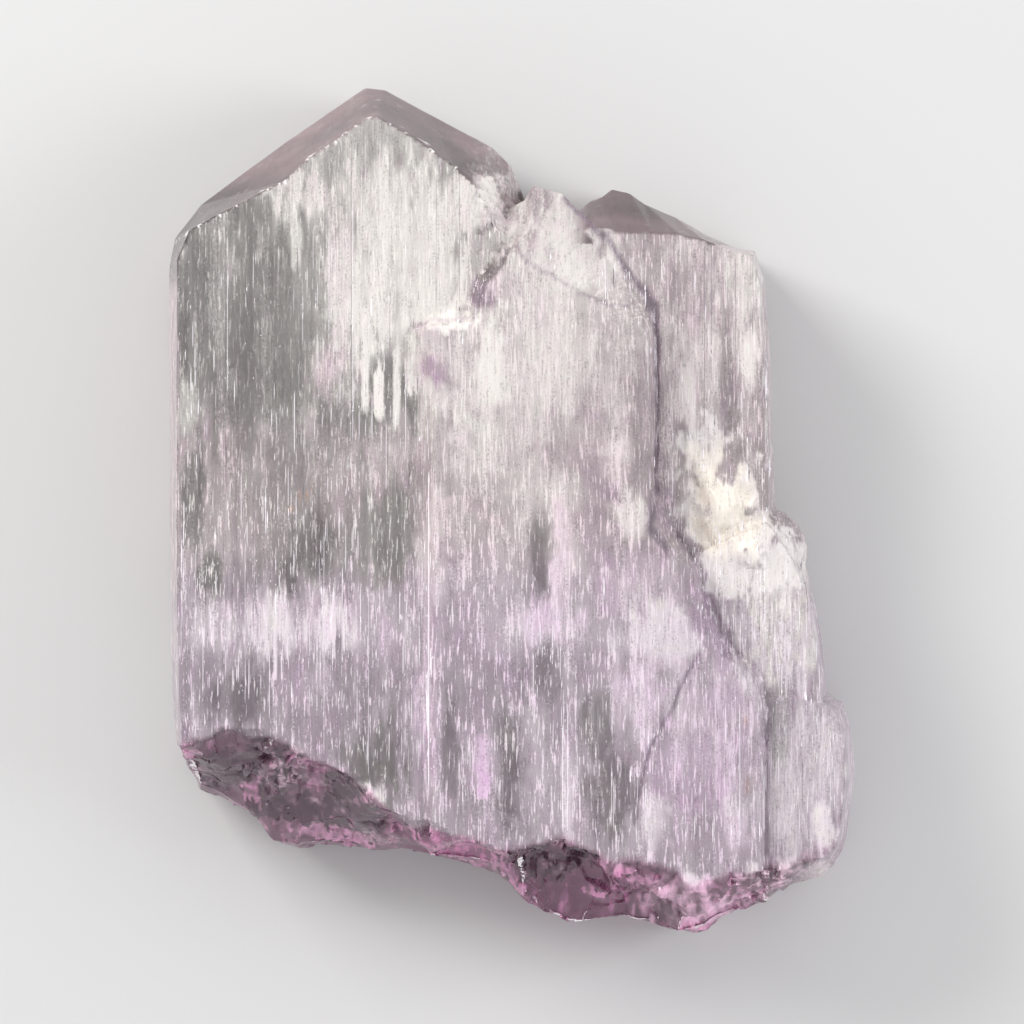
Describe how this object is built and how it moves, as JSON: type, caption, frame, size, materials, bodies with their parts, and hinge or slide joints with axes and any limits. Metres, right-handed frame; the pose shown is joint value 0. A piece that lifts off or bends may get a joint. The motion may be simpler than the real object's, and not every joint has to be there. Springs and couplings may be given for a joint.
{
  "type": "kunzite crystal",
  "caption": "Flat, striated lilac kunzite specimen of parallel-grown crystals with chevron terminations and a ragged shell-shaped break, lying on its flat back.",
  "frame": {"origin": "middle of the flat back face that the crystal rests on", "axes": "+X across the crystal's width, +Y along its length towards the terminations, +Z out of the front face"},
  "size_m": [0.0688, 0.0848, 0.0213],
  "materials": {
    "kunzite": "see-through lilac crystal, glassy on facets and break, silky with lengthwise striations on the front face"
  },
  "bodies": {
    "root": {"kunzite_crystal": "kunzite"}
  },
  "joints": []
}
